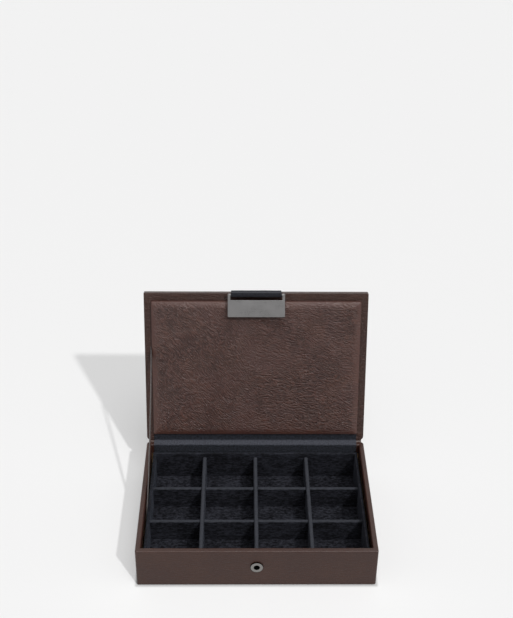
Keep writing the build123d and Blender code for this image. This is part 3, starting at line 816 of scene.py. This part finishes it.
def make_floor():
    mesh = bpy.data.meshes.new("floor")
    half = FLOOR_SIZE / 2
    corners = [(-half, -half, 0), (half, -half, 0), (half, half, 0), (-half, half, 0)]
    mesh.from_pydata(corners, [], [(0, 1, 2, 3)])
    s = Shader("floor")
    grey = (FLOOR_GREY, FLOOR_GREY, FLOOR_GREY, 1.0)
    foot = extent("base_leather")[1]
    split = s.add("ShaderNodeSeparateXYZ", {"Vector": s.place()}).outputs
    beside = s.math("MAXIMUM", s.math("SUBTRACT", s.math("ABSOLUTE", split[0]), foot.x), 0.0)
    before = s.math("MAXIMUM", s.math("SUBTRACT", s.math("ABSOLUTE", split[1]), foot.y), 0.0)
    square = s.math("ADD", s.math("MULTIPLY", beside, beside), s.math("MULTIPLY", before, before))
    away = s.math("SQRT", square)
    # Painted light near the box that fades with distance, and a painted contact shadow where the glow dies out at
    # the foot.
    near = s.math("POWER", math.e, s.math("DIVIDE", away, -LIFT_REACH))
    facing = s.span(split[1], -foot.y - 12, -foot.y + 25, 1.0, 0.3)
    broad = s.math("POWER", math.e, s.math("DIVIDE", away, -WIDE_REACH))
    wide = s.math("MULTIPLY", broad, WIDE_PAINTED_LIGHT)
    lift = s.math("ADD", s.math("MULTIPLY", s.math("MULTIPLY", near, facing), FLOOR_PAINTED_LIGHT), wide)
    glow = s.math("MULTIPLY", s.math("ADD", lift, FLOOR_GLOW), s.span(away, *FOOT_PAINTED_SHADOW, 0.0, 1.0))
    mesh.materials.append(s.finish(grey, 1.0, Specular_IOR_Level=0.0, Emission_Strength=glow,
                                   Emission_Color=(1.0, 1.0, 1.0, 1.0)))
    floor = bpy.data.objects.new("floor", mesh)
    bpy.context.scene.collection.objects.link(floor)


def make_world():
    """An even studio sky; what the camera and mirrors see of it matches the lit floor."""
    world = bpy.data.worlds.new("studio")
    world.use_nodes = True
    tree = world.node_tree
    tree.nodes.clear()
    path = tree.nodes.new("ShaderNodeLightPath")
    seen = tree.nodes.new("ShaderNodeMath")
    seen.operation = "MAXIMUM"
    tree.links.new(path.outputs["Is Camera Ray"], seen.inputs[0])
    tree.links.new(path.outputs["Is Glossy Ray"], seen.inputs[1])
    light = tree.nodes.new("ShaderNodeBackground")
    light.inputs["Color"].default_value = (1.0, 1.0, 1.0, 1.0)
    light.inputs["Strength"].default_value = SKY_STRENGTH
    direction = tree.nodes.new("ShaderNodeTexCoord").outputs["Generated"]
    split = tree.nodes.new("ShaderNodeSeparateXYZ")
    tree.links.new(direction, split.inputs[0])
    rise = tree.nodes.new("ShaderNodeMapRange")
    rise_range = (*OVERHEAD_RISE, BACKGROUND, OVERHEAD)
    for key, value in zip(("From Min", "From Max", "To Min", "To Max"), rise_range):
        rise.inputs[key].default_value = value
    tree.links.new(split.outputs["Z"], rise.inputs["Value"])
    mirrored = tree.nodes.new("ShaderNodeMix")
    mirrored.data_type = "FLOAT"
    tree.links.new(path.outputs["Is Glossy Ray"], mirrored.inputs[0])
    mirrored.inputs[2].default_value = BACKGROUND
    tree.links.new(rise.outputs["Result"], mirrored.inputs[3])
    shown = tree.nodes.new("ShaderNodeBackground")
    shown.inputs["Color"].default_value = (1.0, 1.0, 1.0, 1.0)
    tree.links.new(mirrored.outputs[0], shown.inputs["Strength"])
    choice = tree.nodes.new("ShaderNodeMixShader")
    tree.links.new(seen.outputs[0], choice.inputs[0])
    tree.links.new(light.outputs[0], choice.inputs[1])
    tree.links.new(shown.outputs[0], choice.inputs[2])
    output = tree.nodes.new("ShaderNodeOutputWorld")
    tree.links.new(choice.outputs[0], output.inputs["Surface"])
    bpy.context.scene.world = world


def make_sun(name, direction, strength, angle):
    light = bpy.data.lights.new(name, "SUN")
    light.energy = strength
    light.angle = math.radians(angle)
    lamp = bpy.data.objects.new(name, light)
    lamp.rotation_mode = "QUATERNION"
    lamp.rotation_quaternion = direction.to_track_quat("Z", "Y")
    bpy.context.scene.collection.objects.link(lamp)


def make_camera():
    data = bpy.data.cameras.new("camera")
    data.sensor_fit = "AUTO"
    data.sensor_width = SENSOR
    data.lens = FOCAL_PIXELS / PHOTO_HEIGHT * SENSOR
    data.clip_start = 0.05
    data.clip_end = 50
    camera = bpy.data.objects.new("camera", data)
    turn = Matrix.Rotation(math.radians(-CAMERA_YAW), 4, "Z")
    turn @= Matrix.Rotation(math.radians(90 - CAMERA_PITCH), 4, "X")
    turn @= Matrix.Rotation(math.radians(CAMERA_ROLL), 4, "Z")
    camera.matrix_world = Matrix.Translation(CAMERA_PLACE * MM) @ turn
    bpy.context.scene.collection.objects.link(camera)
    bpy.context.scene.camera = camera


# ---------------------------------------------------------------- build

finish_cad_nodes()
lid_pad()
hinge_spine()
hinge_lining()
stay_ribbon()
closure_strap()
make_floor()
make_world()
make_sun("key", SUN_DIRECTION, SUN_STRENGTH, SUN_ANGLE)
make_sun("top", TOP_DIRECTION, TOP_STRENGTH, TOP_ANGLE)
make_camera()
bpy.context.scene.view_settings.view_transform = "Standard"
